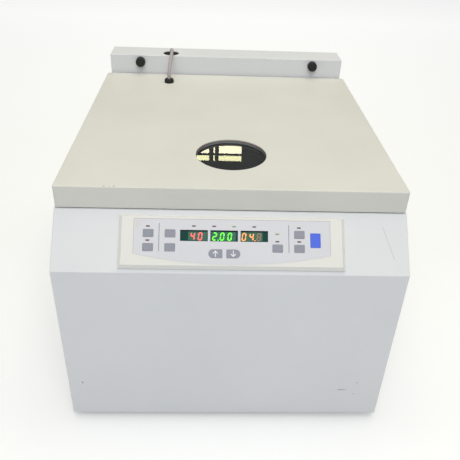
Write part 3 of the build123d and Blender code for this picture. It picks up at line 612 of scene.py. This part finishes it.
@dataclass
class LidLead:
    """The lead that arches from the console into the lid."""

    x: float = -101.0
    radius: float = 3.0
    sides: int = 20
    bushing_ahead: float = 28.0
    settled_points: int = 12
    route_offsets: tuple[Point, ...] = (
        (0.0, 40.0, -33.0),
        (0.0, 38.0, -14.0),
        (0.0, 37.5, 0.0),
        (1.5, 29.0, 8.0),
        (3.2, 18.0, 11.0),
        (2.8, 2.0, 6.0),
        (1.4, -16.0, -5.0),
        (0.2, -27.0, -15.0),
        (0.0, -28.0, -24.0),
        (0.0, -28.0, -33.0),
    )

    def centreline(self) -> list[Vector]:
        """Read the lead's smooth centreline from its route.

        Returns:
            Points along the middle of the lead, in metres.
        """
        console_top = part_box("rear_console")[1][2]
        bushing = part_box("lead_bushing")
        axis_y = (bushing[0][1] + bushing[1][1]) / 2 + self.bushing_ahead * MM
        curve = bpy.data.curves.new("lead_route", "CURVE")
        curve.dimensions = "3D"
        spline = curve.splines.new("NURBS")
        spline.points.add(len(self.route_offsets) - 1)
        for knot, (dx, dy, dz) in zip(spline.points, self.route_offsets):
            knot.co = ((self.x + dx) * MM, axis_y + dy * MM, console_top + dz * MM, 1)
        spline.order_u = 3
        spline.use_endpoint_u = True
        spline.resolution_u = 8
        holder = bpy.data.objects.new("lead_route", curve)
        line = bpy.data.meshes.new_from_object(holder)
        points = [v.co.copy() for v in line.vertices]
        bpy.data.objects.remove(holder)
        bpy.data.curves.remove(curve)
        bpy.data.meshes.remove(line)
        return points

    def build(self) -> None:
        line = self.centreline()
        points: list[Vector] = []
        faces: list[list[int]] = []
        for i, middle in enumerate(line):
            ahead = line[min(i + 1, len(line) - 1)] - line[max(i - 1, 0)]
            side = Vector((1, 0, 0))
            rise = ahead.normalized().cross(side).normalized()
            side = rise.cross(ahead.normalized())
            for k in range(self.sides):
                angle = 2 * math.pi * k / self.sides
                points.append(middle + (side * math.cos(angle) + rise * math.sin(angle)) * self.radius * MM)
        for i in range(len(line) - 1):
            for k in range(self.sides):
                j = (k + 1) % self.sides
                a, b = i * self.sides, (i + 1) * self.sides
                faces.append([a + k, a + j, b + j, b + k])
        faces.append(list(range(self.sides))[::-1])
        faces.append([(len(line) - 1) * self.sides + k for k in range(self.sides)])
        tube = piece("lid_lead_tube", points, faces, JACKET, smooth=True)
        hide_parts("lid_lead")
        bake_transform(tube)


@dataclass
class ControlPanel:
    """The sloping panel: bezel, printed film, displays with their digits, lamps and keys."""

    displays: tuple[float, ...] = (-46.0, -10.0, 26.1)
    display_v: float = 45.0
    display_size: tuple[float, float] = (32.8, 13.3)
    fields: tuple[tuple[float, float], ...] = ((-7.0, 15.4), (-15.4, 14.0), (-15.8, 9.9))
    field_down: float = 0.6
    field_inset: float = 2.6
    # Place and size of the painted shadow strip along each display's top.
    shadow_down: float = 0.9
    shadow_inset: float = 0.2
    shadow_height: float = 1.6
    lens_n: float = 6.3
    film_n: float = 6.4
    key_n: float = 6.8
    digit_w: float = 5.2
    digit_h: float = 9.8
    digit_pitch: float = 9.0
    digit_down: float = 0.9
    digit_lift: float = 0.01
    point_back: float = 1.7
    point_rise: float = 0.6
    point_size: float = 1.2
    stroke: float = 1.35
    stroke_gap: float = 0.15
    slant: float = 0.12
    readouts: tuple[tuple[str, str, int, float, Finish], ...] = (
        ("readout_red", "40", 0, 10.6, DIGIT_RED),
        ("readout_green", "2.00", 1, 9.8, DIGIT_GREEN),
        ("readout_orange", "04.", 2, -0.2, DIGIT_ORANGE),
        ("readout_unlit", "8", 2, 8.6, DIGIT_FAINT),
    )
    grey_keys: tuple[str, ...] = (
        "key_outer_left_top", "key_outer_left_low", "key_inner_left_top", "key_inner_left_low",
        "key_inner_right", "key_outer_right_top", "key_outer_right_low", "key_up", "key_down",
    )
    dark_lamps: tuple[tuple[float, float], ...] = (
        (-101.0, 55.6), (-101.0, 38.6), (-46.3, 56.5), (-22.0, 56.5), (26.0, 56.5), (53.7, 39.0),
        (79.8, 56.0), (80.0, 39.1),
    )
    lit_lamps: tuple[tuple[float, float], ...] = ((1.9, 56.5), (53.7, 48.0))
    lamp_size: tuple[float, float] = (4.2, 1.5)
    dividers: tuple[float, ...] = (-87.5, 67.5)
    divider_v: float = 42.5
    divider_size: tuple[float, float] = (0.8, 34.0)
    film_half: float = 117.75
    film_top: float = 65.0
    # Where the painted shadow line along the film's sides starts, and how wide it is.
    shadow_low: float = 22.7
    shadow_width: float = 0.35
    film_spots: tuple[tuple[float, float, float, float, int], ...] = (
        (-112.6, 58.5, 3.0, 4.6, 2),
        (-106.0, 61.6, 3.4, 1.5, 5),
    )
    arrows: tuple[tuple[str, float, Side], ...] = (("key_up", -20.2, Side.UP), ("key_down", 1.1, Side.DOWN))
    arrow_v: float = 23.5
    slope: Plane = field(default_factory=slope_plane)

    def dress(self) -> None:
        """Dress the panel's nodes and build its print, digits and arrows."""
        paint(["control_bezel"], BEZEL)
        paint(["membrane_overlay"], OVERLAY)
        paint(["display_lenses"], LENS)
        paint(["display_modules"], MODULE)
        paint(["indicator_lamps"], LAMP)
        paint(["control_board"], BOARD)
        paint(self.grey_keys, KEY_GREY)
        paint(["key_stop"], KEY_BLUE)
        self._print()
        self._film_stain()
        self._display_shadows_and_fields()
        self._readouts()
        for key, x, side in self.arrows:
            self._arrow(key, x, side)

    def _print(self) -> None:
        """Print the divider lines, paint the shadow line along the film's edge, and colour the lamps' faces.
        """
        lines = [box_outline(x, self.divider_v, *self.divider_size) for x in self.dividers]
        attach(self.slope.plate("divider_lines", lines, self.film_n, PRINT_THICK, PRINT_LINE), HOUSING)
        self._edge_shadow()
        dark = [box_outline(x, v, *self.lamp_size) for x, v in self.dark_lamps]
        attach(self.slope.plate("lamp_faces_dark", dark, self.lens_n, MARK_THICK, LAMP), HOUSING)
        lit = [box_outline(x, v, *self.lamp_size) for x, v in self.lit_lamps]
        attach(self.slope.plate("lamp_faces_lit", lit, self.lens_n, MARK_THICK, LAMP_GREEN), HOUSING)

    def _edge_shadow(self) -> None:
        """Paint the shadow that the recess edge casts on the film: a thin dark line down both sides and along
        the top.
        """
        half, top, low = self.film_half, self.film_top, self.shadow_low
        inner, under = half - self.shadow_width, top - self.shadow_width
        strips = [
            [(-half, low), (-inner, low), (-inner, top), (-half, top)],
            [(inner, low), (half, low), (half, top), (inner, top)],
            [(-inner, under), (inner, under), (inner, top), (-inner, top)],
        ]
        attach(self.slope.plate("film_edge_shadow", strips, self.film_n, PRINT_THICK, FILM_EDGE_SHADOW), HOUSING)

    def _film_stain(self) -> None:
        """Lay the faint warm stain at the film's upper left corner."""
        spots = [blot(*spot) for spot in self.film_spots]
        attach(self.slope.plate("film_stains", spots, self.film_n, STAIN_THICK, FILM_STAIN), HOUSING)

    def _display_shadows_and_fields(self) -> None:
        """Lay the painted shadow along the top of each display, and the lighter digit field."""
        width, height = self.display_size
        # The dark strip along each display's top is painted shadow from the recess edge.
        shadow_v = self.display_v + height / 2 - self.shadow_down
        shadow_bands = [box_outline(x, shadow_v, width - self.shadow_inset, self.shadow_height) for x in self.displays]
        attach(self.slope.plate("display_painted_shadows", shadow_bands, self.lens_n, SHADOW_AND_FIELD_THICK, LENS_SHADOW), HOUSING)
        field_v = self.display_v - self.field_down
        fields = [
            box_outline(x + (left + right) / 2, field_v, right - left, height - self.field_inset)
            for x, (left, right) in zip(self.displays, self.fields)
        ]
        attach(self.slope.plate("display_fields", fields, self.lens_n, SHADOW_AND_FIELD_THICK, LENS_FIELD), HOUSING)

    def _strokes(self, text: str, right: float) -> list[Outline]:
        """The strokes of a readout, set flush right.

        Args:
            text: Digits, spaces and points.
            right: Where its last digit ends, in millimetres across the slope.

        Returns:
            The outlines of the lit strokes.
        """
        outlines: list[Outline] = []
        pitch = self.digit_pitch
        count = sum(mark != "." for mark in text)
        base = self.display_v - self.digit_down - self.digit_h / 2
        left = right - count * pitch + pitch - self.digit_w - self.slant * self.digit_h
        for mark in text:
            if mark == ".":
                size = self.point_size
                outlines.append(box_outline(left - self.point_back, base + self.point_rise, size, size))
                continue
            for segment in Segment:
                if segment.value in DIGITS.get(mark, ""):
                    outlines.append(self._stroke(segment, left, base))
            left += pitch
        return outlines

    def _stroke(self, segment: Segment, left: float, base: float) -> Outline:
        """One stroke with pointed ends, slanted as the digits are.

        Args:
            segment: Which stroke.
            left: The digit's left edge.
            base: The digit's lower edge.

        Returns:
            The stroke's outline, counterclockwise.
        """
        half, gap = self.stroke / 2, self.stroke_gap
        low, mid, high = half, self.digit_h / 2, self.digit_h - half
        heights = {Segment.TOP: high, Segment.MIDDLE: mid, Segment.BOTTOM: low}
        if segment in heights:
            y = heights[segment]
            x0, x1 = half + gap, self.digit_w - half - gap
            outline = [(x0, y), (x0 + half, y - half), (x1 - half, y - half), (x1, y), (x1 - half, y + half),
                       (x0 + half, y + half)]
        else:
            x = self.digit_w - half if segment in (Segment.RIGHT_HIGH, Segment.RIGHT_LOW) else half
            upper = segment in (Segment.RIGHT_HIGH, Segment.LEFT_HIGH)
            y0, y1 = (mid + gap, high - gap) if upper else (low + gap, mid - gap)
            outline = [(x, y0), (x + half, y0 + half), (x + half, y1 - half), (x, y1), (x - half, y1 - half),
                       (x - half, y0 + half)]
        return [(left + x + y * self.slant, base + y) for x, y in outline]

    def _readouts(self) -> None:
        """Light the three readouts, and show one digit that is off."""
        for name, text, display, right, finish in self.readouts:
            strokes = self._strokes(text, self.displays[display] + right)
            plate = self.slope.plate(name, strokes, self.lens_n + self.digit_lift, PRINT_THICK, finish)
            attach(plate, HOUSING)

    def _arrow(self, key: str, x: float, side: Side) -> None:
        """Print an arrow on a key, which moves with it.

        Args:
            key: The key's body.
            x: The arrow's centre across the slope.
            side: Which way it points.
        """
        way = side.value
        outlines: list[Outline] = []
        for strip in ARROW_STRIPS:
            turned = [(x + px, self.arrow_v + pv * way) for px, pv in strip]
            outlines.append(turned if way > 0 else turned[::-1])
        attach(self.slope.plate(f"{key}_arrow", outlines, self.key_n, PRINT_THICK, ARROW_WHITE), key)


@dataclass
class Inside:
    """The chamber, rotor, drive and electrics, which show through the window and with the lid open."""

    finishes: dict[Finish, tuple[str, ...]] = field(default_factory=lambda: {
        CHAMBER_COAT: ("chamber_pan",),
        SEAL: ("chamber_gasket",),
        SILICONE: ("heater_band",),
        FOAM: ("insulation_jacket",),
        STEEL: ("spindle_post", "spindle_bearings", "motor_shaft", "motor_mount", "motor_housing"),
        # The rotor's dark colour is painted shade of the closed chamber.
        ROTOR_SHADED: ("rotor_hub", "rotor_lower_plate", "rotor_upper_plate", "rotor_posts"),
        MAGNET: ("driven_magnet", "drive_magnet"),
        BLACK: ("rotor_knob", "fan_frame", "fan_impeller", "power_inlet", "power_rocker"),
        BOARD: ("power_supply",),
        OUTLET: ("vacuum_port",),
    })

    def dress(self) -> None:
        """Give every inside piece its finish."""
        for finish, names in self.finishes.items():
            paint(names, finish)


@dataclass(frozen=True)
class SoftLamp:
    """A soft square lamp, with its places and its side in metres."""

    name: str
    at: Point
    aim: Point
    size: float
    power: float
    color: Color
    glossy: bool = True

    def hang(self) -> None:
        """Add the lamp to the scene, turned towards what it points at."""
        data = bpy.data.lights.new(self.name, "AREA")
        data.shape = "SQUARE"
        data.size = self.size
        data.energy = self.power
        data.color = self.color
        lamp = bpy.data.objects.new(self.name, data)
        lamp.location = self.at
        lamp.visible_glossy = self.glossy
        lamp.rotation_euler = (Vector(self.aim) - Vector(self.at)).to_track_quat("-Z", "Y").to_euler()
        bpy.context.scene.collection.objects.link(lamp)


LAMPS = (
    SoftLamp("overhead_light", (0.1, 0.1, 2.3), (0.0, 0.0, 0.3), size=2.4, power=31.0,
             color=(1.0, 0.955, 0.79)),
    SoftLamp("front_light", (-0.5, -2.7, 0.9), (0.0, -0.3, 0.2), size=1.8, power=3.6,
             color=(0.84, 0.93, 1.0)),
    SoftLamp("slope_light", (0.0, -1.8, 2.3), (0.0, -0.2, 0.3), size=1.6, power=34.0,
             color=(0.92, 0.955, 1.0), glossy=False),
)


@dataclass
class Studio:
    """The camera at the photograph's angle, the soft lights, the pale floor and the world."""

    camera_at: Point = (-29.8, -532.4, 658.0)
    pitch: float = 33.08
    yaw: float = -2.71
    roll: float = 2.39
    focal_px: float = 563.6
    foot_height: float = 12.0
    world_color: Color = (0.95, 0.98, 1.0)
    world_strength: float = 0.22
    backdrop_strength: float = 0.95
    floor_half: float = 4.0
    floor_lift: float = 0.25
    far_floor_lift: float = 0.62
    lift_span: tuple[float, float] = (0.15, 2.2)

    def build(self) -> None:
        """Set up the whole studio."""
        self._camera()
        for lamp in LAMPS:
            lamp.hang()
        self._floor()
        self._world()
        bpy.context.scene.view_settings.view_transform = "Standard"

    def _camera(self) -> None:
        """Place the camera where the photograph was taken from."""
        yaw, pitch = math.radians(self.yaw), math.radians(-self.pitch)
        turn = Matrix.Rotation(yaw, 3, "Z") @ Matrix.Rotation(pitch, 3, "X")
        right, ahead, up = (turn @ Vector(v) for v in ((1, 0, 0), (0, 1, 0), (0, 0, 1)))
        lean = math.radians(self.roll)
        across = right * math.cos(lean) + up * math.sin(lean)
        above = up * math.cos(lean) - right * math.sin(lean)
        data = bpy.data.cameras.new("photo_camera")
        data.sensor_fit = "HORIZONTAL"
        data.sensor_width = 36.0
        data.lens = self.focal_px / PHOTO_SIZE * data.sensor_width
        camera = bpy.data.objects.new("photo_camera", data)
        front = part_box("housing_shell")[0][1]
        x, y, z = self.camera_at
        where = Vector((x * MM, front + y * MM, (z + self.foot_height) * MM))
        axes = Matrix((across, above, -ahead)).transposed().to_4x4()
        camera.matrix_world = Matrix.Translation(where) @ axes
        bpy.context.scene.collection.objects.link(camera)
        bpy.context.scene.camera = camera

    def _floor(self) -> None:
        """Lay the pale floor."""
        signs = ((-1, -1), (1, -1), (1, 1), (-1, 1))
        corners = [Vector((x * self.floor_half, y * self.floor_half, 0)) for x, y in signs]
        floor = piece("floor", corners, [[0, 1, 2, 3]], PALE_FLOOR)
        self._lift_floor(floor.data.materials[0])

    def _lift_floor(self, material: bpy.types.Material) -> None:
        """Let the camera see the floor nearly white, more so further back, with the shadow still on it.

        Args:
            material: The floor's material.
        """
        nodes, links = material.node_tree.nodes, material.node_tree.links
        plain = nodes["Principled BSDF"]
        glow = nodes.new("ShaderNodeEmission")
        place = nodes.new("ShaderNodeTexCoord")
        parts = nodes.new("ShaderNodeSeparateXYZ")
        fade = nodes.new("ShaderNodeMapRange")
        fade.inputs["From Min"].default_value, fade.inputs["From Max"].default_value = self.lift_span
        fade.inputs["To Min"].default_value = self.floor_lift
        fade.inputs["To Max"].default_value = self.far_floor_lift
        links.new(place.outputs["Object"], parts.inputs["Vector"])
        links.new(parts.outputs["Y"], fade.inputs["Value"])
        links.new(fade.outputs["Result"], glow.inputs["Strength"])
        both = nodes.new("ShaderNodeAddShader")
        path = nodes.new("ShaderNodeLightPath")
        mix = nodes.new("ShaderNodeMixShader")
        links.new(plain.outputs["BSDF"], both.inputs[0])
        links.new(glow.outputs["Emission"], both.inputs[1])
        links.new(path.outputs["Is Camera Ray"], mix.inputs["Fac"])
        links.new(plain.outputs["BSDF"], mix.inputs[1])
        links.new(both.outputs["Shader"], mix.inputs[2])
        links.new(mix.outputs["Shader"], nodes["Material Output"].inputs["Surface"])

    def _world(self) -> None:
        """Light the scene softly all round, with white where the camera looks past the floor."""
        world = bpy.data.worlds.new("studio_world")
        bpy.context.scene.world = world
        world.use_nodes = True
        nodes, links = world.node_tree.nodes, world.node_tree.links
        nodes.clear()
        output = nodes.new("ShaderNodeOutputWorld")
        soft = nodes.new("ShaderNodeBackground")
        soft.inputs["Color"].default_value = (*self.world_color, 1)
        soft.inputs["Strength"].default_value = self.world_strength
        white = nodes.new("ShaderNodeBackground")
        white.inputs["Color"].default_value = (1, 1, 1, 1)
        white.inputs["Strength"].default_value = self.backdrop_strength
        path = nodes.new("ShaderNodeLightPath")
        mix = nodes.new("ShaderNodeMixShader")
        links.new(path.outputs["Is Camera Ray"], mix.inputs["Fac"])
        links.new(soft.outputs["Background"], mix.inputs[1])
        links.new(white.outputs["Background"], mix.inputs[2])
        links.new(mix.outputs["Shader"], output.inputs["Surface"])


def main() -> None:
    """Build every sub-assembly in order."""
    logging.basicConfig(level=logging.INFO, format="%(message)s")
    Studio().build()
    LidLead().build()
    CaseShell().dress()
    Lid().dress()
    Window().dress()
    ControlPanel().dress()
    Inside().dress()


if __name__ == "__main__":
    main()
